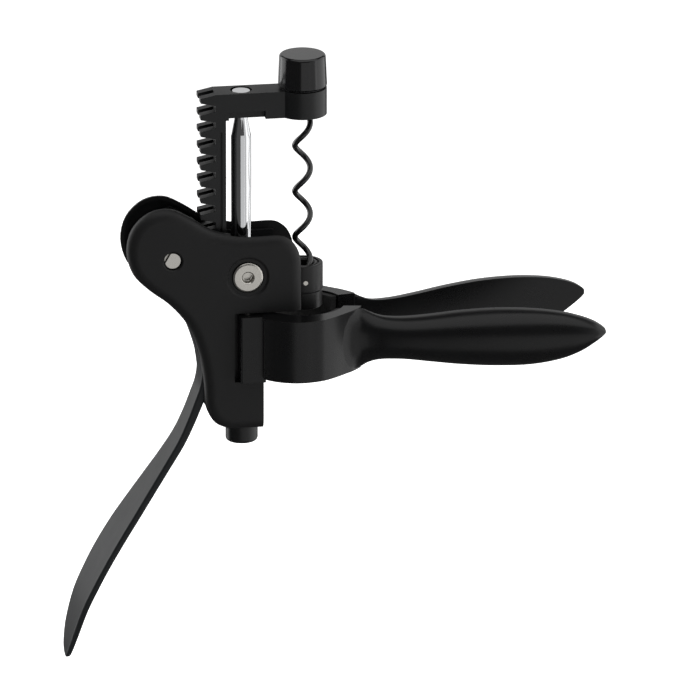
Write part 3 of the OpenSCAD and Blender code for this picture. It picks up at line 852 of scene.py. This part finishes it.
def jaw_shape():
    """The near jaw with its hinge knuckle, seen from above and extruded."""
    plan = [(x, -y) for x, y in spline(JAW_EDGE, 4)]
    plan += [(15, -(MATE_Y - 0.2)), *JAW_INNER]
    jaw = slab(plan, -JAW_HALF, JAW_HALF)
    (x0, x1), (y0, y1), (z0, z1) = KNUCKLE
    knuckle = slab(rounded([(x0, -y0, 0), (x0, -y1, 0.8), (x1, -y1, 0), (x1, -y0, 0)]), z0, z1)
    pin = HINGE_PIN.middle
    eye = shift(rod(EYE_RADIUS, z0, z1, 0, 48), x=pin.x, y=pin.y)
    bm = combine(combine(jaw, knuckle, "UNION"), eye, "UNION")
    bore = lathe([(0, -20), (JAW_BORE, -20), (JAW_BORE, 20), (0, 20)], 160)
    bm = cut_away(bm, bore, shift(rod(HINGE_BORE, -30, 30, 0, 48), x=pin.x, y=pin.y))
    return round_edges(bm, sizes().jaw_round / MM, 3, 38)


def handle_shape():
    """The near handle: its jaw and its grip in one moulding."""
    return combine(jaw_shape(), grip_shape(), "UNION")


# ---- Operators ----


def built(operator_class):
    """Gives an operator the options that all of them share."""
    operator_class.bl_options = {"REGISTER", "UNDO"}
    return operator_class


@built
class CORKSCREW_OT_covers(bpy.types.Operator):
    """Build the two soft-touch body covers"""

    bl_idname = "corkscrew.covers"
    bl_label = "Covers"

    def execute(self, context):
        material = soft_touch_abs()
        front = cover_shape()
        rear = rear_of(front)
        make_piece(front, "front_cover_shell", material, "body", ["front_cover"])
        make_piece(rear, "rear_cover_shell", material, "body", ["rear_cover"])
        return {"FINISHED"}


@built
class CORKSCREW_OT_cover_screws(bpy.types.Operator):
    """Build the large cover screws"""

    bl_idname = "corkscrew.cover_screws"
    bl_label = "Cover screws"

    def execute(self, context):
        material = brushed_nickel()
        front = cover_screw_shape()
        rear = rear_of(front)
        make_piece(front, "front_screw", material, "body", ["front_cover_screw"])
        make_piece(rear, "rear_screw", material, "body", ["rear_cover_screw"])
        return {"FINISHED"}


@built
class CORKSCREW_OT_frame(bpy.types.Operator):
    """Build the frame, its cup, pins and latch"""

    bl_idname = "corkscrew.frame"
    bl_label = "Frame and latch"

    def execute(self, context):
        s = sizes()
        casting, steel = coated_zinc(), turned_steel()
        turned = s.turned_break / MM
        make_piece(cad_copy("main_frame", turned), "frame_casting", casting, "body",
                   ["main_frame"])
        make_piece(cup_shape(), "rod_end_cup", casting, "body", ["rod_cup"])
        make_piece(cad_copy("gear_axle", turned), "axle", steel, "body", ["gear_axle"])
        for side in ("front", "rear"):
            node = f"{side}_hinge_pin"
            make_piece(cad_copy(node, turned), f"{side}_pin", steel, "body", [node])
        make_piece(cad_copy("latch_pin", 0.08), "latch_pivot", steel, "body", ["latch_pin"])
        make_piece(cad_copy("nut_latch", turned), "latch_arm", sintered_steel(), "latch",
                   ["nut_latch"])
        wire = 0.32
        spring = coil(0.9, wire, 0.6, wire / 2, SPRING.size.x - wire / 2, 0, 10, 24)
        bmesh.ops.rotate(spring, verts=spring.verts, matrix=Matrix.Rotation(math.radians(90), 3, "Y"))
        shift(spring, x=SPRING.low.x, z=SPRING.middle.z)
        make_piece(spring, "latch_coil", steel, "body", ["latch_spring"])
        return {"FINISHED"}


@built
class CORKSCREW_OT_lever(bpy.types.Operator):
    """Build the lever with its gears, rivets and bush"""

    bl_idname = "corkscrew.lever"
    bl_label = "Lever and gears"

    def execute(self, context):
        gear_steel = sintered_steel()
        make_piece(lever_shape(), "lever_blade", lever_coating(), "lever_arm", ["lever"])
        for side in ("front", "rear"):
            node = f"{side}_gear"
            make_piece(gear_shape(node), f"{side}_gear_wheel", gear_steel, "lever_arm", [node])
        make_piece(cad_copy("gear_rivets", 0.1), "rivets", turned_steel(), "lever_arm",
                   ["gear_rivets"])
        make_piece(cad_copy("gear_bush", 0.1), "bush", oiled_bronze(), "lever_arm", ["gear_bush"])
        return {"FINISHED"}


@built
class CORKSCREW_OT_carriage(bpy.types.Operator):
    """Build the rack carriage with its rod, screw and bush"""

    bl_idname = "corkscrew.carriage"
    bl_label = "Carriage and rod"

    def execute(self, context):
        chrome = chrome_plate()
        make_piece(cad_copy("rack_carriage", sizes().cast_break / MM), "rack_and_arm", coated_zinc(),
                   "carriage", ["rack_carriage"])
        make_piece(cad_copy("guide_rod", sizes().turned_break / MM), "chrome_rod", chrome, "carriage",
                   ["guide_rod"])
        make_piece(cad_copy("rod_screw", 0.2, 3), "arm_screw", chrome, "carriage",
                   ["rod_screw"])
        make_piece(cad_copy("worm_bush", 0.1), "shank_bush", oiled_bronze(), "carriage",
                   ["worm_bush"])
        return {"FINISHED"}


@built
class CORKSCREW_OT_worm(bpy.types.Operator):
    """Build the worm, its cap and its thrust washer"""

    bl_idname = "corkscrew.worm"
    bl_label = "Worm and cap"

    def execute(self, context):
        make_piece(cad_copy("thrust_washer", 0.08), "washer_ring", sintered_steel(), "washer",
                   ["thrust_washer"])
        make_piece(worm_shape(), "coated_worm", worm_coating(), "worm_and_cap", ["worm"])
        make_piece(cap_shape(), "moulded_cap", gloss_abs(), "worm_and_cap", ["worm_cap"])
        return {"FINISHED"}


@built
class CORKSCREW_OT_nut(bpy.types.Operator):
    """Build the nut, its block, ring and pins"""

    bl_idname = "corkscrew.nut"
    bl_label = "Nut"

    def execute(self, context):
        black = turned_acetal()
        make_piece(cad_copy("nut_block", sizes().cast_break / MM), "nut_carrier", coated_zinc(), "nut_unit",
                   ["nut_block"])
        make_piece(nut_shape(), "worm_nut", black, "nut_unit", ["drive_nut"])
        make_piece(ring_shape(), "mouth_ring", black, "nut_unit", ["stop_ring"])
        make_piece(cad_copy("drive_pins", 0.12), "nut_pins", turned_steel(), "nut_unit",
                   ["drive_pins"])
        return {"FINISHED"}


@built
class CORKSCREW_OT_handles(bpy.types.Operator):
    """Build the two handles with their jaws"""

    bl_idname = "corkscrew.handles"
    bl_label = "Handles"

    def execute(self, context):
        nylon = moulded_nylon()
        front = handle_shape()
        rear = rear_of(front)
        make_piece(front, "front_grip_moulding", nylon, "front_grip", ["front_handle"], 40)
        make_piece(rear, "rear_grip_moulding", nylon, "rear_grip", ["rear_handle"], 40)
        return {"FINISHED"}


@built
class CORKSCREW_OT_jaw_pads(bpy.types.Operator):
    """Build the rubber pads inside the jaws"""

    bl_idname = "corkscrew.jaw_pads"
    bl_label = "Jaw pads"

    def execute(self, context):
        rubber = pad_rubber()
        for side in ("front", "rear"):
            node = f"{side}_jaw_pad"
            make_piece(cad_copy(node, 0.4, 3), f"{side}_pad", rubber, f"{side}_grip", [node])
        return {"FINISHED"}


# Lights as azimuth and elevation in degrees, distance, width and height in metres, and power in watts
LIGHTS = {
    "front_panel": (6, -17, 0.9, 0.7, 0.7, 0.95),
    "right_front_panel": (44, -8, 0.95, 0.6, 1.5, 1.7),
    "right_softbox": (92, 0, 0.95, 1.4, 1.9, 11),
    "left_strip": (-120, 4, 1.0, 0.8, 1.5, 7),
    "rear_panel": (-138, 14, 1.0, 0.4, 1.3, 0.9),
    "back_softbox": (180, 9, 1.0, 1.7, 0.8, 2.6),
    "top_softbox": (20, 78, 0.9, 1.3, 1.1, 5),
}
# The floor: its depth below the origin and its radius in metres, and the strength of its own light
FLOOR_DROP = 0.28
FLOOR_RADIUS = 30
FLOOR_GLOW = 0.95
# Strength of the even light from all round, which the camera doesn't see
SURROUND_FILL = 0.08
# The camera: degrees, metres, the point it looks at in millimetres, and a long lens in millimetres
VIEW_AZIMUTH = -9.0
VIEW_ELEVATION = 18.5
VIEW_DISTANCE = 8.0
VIEW_TARGET = (19.5, 0.0, -8.6)
LENS = 1010.5


def direction(azimuth, elevation):
    """The unit vector towards an azimuth, 0 on -Y and 90 on +X, and an elevation."""
    a, e = math.radians(azimuth), math.radians(elevation)
    return Vector((math.sin(a) * math.cos(e), -math.cos(a) * math.cos(e), math.sin(e)))


@built
class CORKSCREW_OT_stage(bpy.types.Operator):
    """Build the floor, the lights and the camera"""

    bl_idname = "corkscrew.stage"
    bl_label = "Stage"

    def execute(self, context):
        scene = context.scene
        target = Vector(VIEW_TARGET) * MM
        bm = bmesh.new()
        bmesh.ops.create_circle(bm, segments=96, radius=FLOOR_RADIUS, cap_ends=True)
        bmesh.ops.translate(bm, verts=bm.verts, vec=(0, 0, -FLOOR_DROP))
        mesh = bpy.data.meshes.new("floor")
        bm.to_mesh(mesh)
        bm.free()
        paper = finish_material("lit_floor_paper", colours().floor, 0.9, grain=2, depth=0.01, mottle=0.01,
                                Emission_Color=(1, 1, 1, 1), Emission_Strength=FLOOR_GLOW)
        mesh.materials.append(paper)
        floor = bpy.data.objects.new("floor", mesh)
        floor.visible_glossy = False
        scene.collection.objects.link(floor)

        for name, (azimuth, elevation, distance, width, height, power) in LIGHTS.items():
            light = bpy.data.lights.new(name, "AREA")
            light.shape = "RECTANGLE"
            light.size = width
            light.size_y = height
            light.energy = power
            lamp = bpy.data.objects.new(name, light)
            towards = direction(azimuth, elevation)
            lamp.location = towards * distance
            lamp.rotation_euler = towards.to_track_quat("Z", "Y").to_euler()
            lamp.visible_camera = False
            scene.collection.objects.link(lamp)

        world = bpy.data.worlds.new("studio")
        scene.world = world
        world.use_nodes = True
        tree = world.node_tree
        tree.nodes.clear()
        path = add_node(tree, "ShaderNodeLightPath")
        seen = add_node(tree, "ShaderNodeBackground", {"Color": (1, 1, 1, 1), "Strength": 1.0})
        fill = add_node(tree, "ShaderNodeBackground", {"Color": (1, 1, 1, 1), "Strength": SURROUND_FILL})
        mix = add_node(tree, "ShaderNodeMixShader", None, {
            0: path.outputs["Is Camera Ray"], 1: fill.outputs[0], 2: seen.outputs[0]
        })
        add_node(tree, "ShaderNodeOutputWorld", None, {"Surface": mix.outputs[0]})
        scene.view_settings.view_transform = "Standard"

        lens = bpy.data.cameras.new("camera")
        lens.lens = LENS
        lens.clip_end = 100
        camera = bpy.data.objects.new("camera", lens)
        back = direction(VIEW_AZIMUTH, VIEW_ELEVATION)
        camera.location = target + back * VIEW_DISTANCE
        camera.rotation_euler = back.to_track_quat("Z", "Y").to_euler()
        scene.collection.objects.link(camera)
        scene.camera = camera
        return {"FINISHED"}


class CORKSCREW_PT_panel(bpy.types.Panel):
    """Lists the corkscrew's sizes, colours and building steps"""

    bl_label = "Lever corkscrew"
    bl_idname = "CORKSCREW_PT_panel"
    bl_space_type = "VIEW_3D"
    bl_region_type = "UI"
    bl_category = "Corkscrew"

    def draw(self, context):
        for group in (context.scene.corkscrew_sizes, context.scene.corkscrew_colours):
            box = self.layout.box()
            for key in group.bl_rna.properties.keys():
                if key not in ("rna_type", "name"):
                    box.prop(group, key)
        for operator in OPERATORS:
            self.layout.operator(operator.bl_idname)


OPERATORS = (
    CORKSCREW_OT_covers, CORKSCREW_OT_cover_screws, CORKSCREW_OT_frame, CORKSCREW_OT_lever,
    CORKSCREW_OT_carriage, CORKSCREW_OT_worm, CORKSCREW_OT_nut, CORKSCREW_OT_handles,
    CORKSCREW_OT_jaw_pads, CORKSCREW_OT_stage,
)
CLASSES = (CorkscrewSizes, CorkscrewColours, *OPERATORS, CORKSCREW_PT_panel)


def register():
    for cls in CLASSES:
        bpy.utils.register_class(cls)
    bpy.types.Scene.corkscrew_sizes = PointerProperty(type=CorkscrewSizes)
    bpy.types.Scene.corkscrew_colours = PointerProperty(type=CorkscrewColours)


def unregister():
    del bpy.types.Scene.corkscrew_colours
    del bpy.types.Scene.corkscrew_sizes
    for cls in reversed(CLASSES):
        bpy.utils.unregister_class(cls)


def main():
    register()
    for operator in OPERATORS:
        group, name = operator.bl_idname.split(".")
        getattr(getattr(bpy.ops, group), name)()


if __name__ == "__main__":
    main()
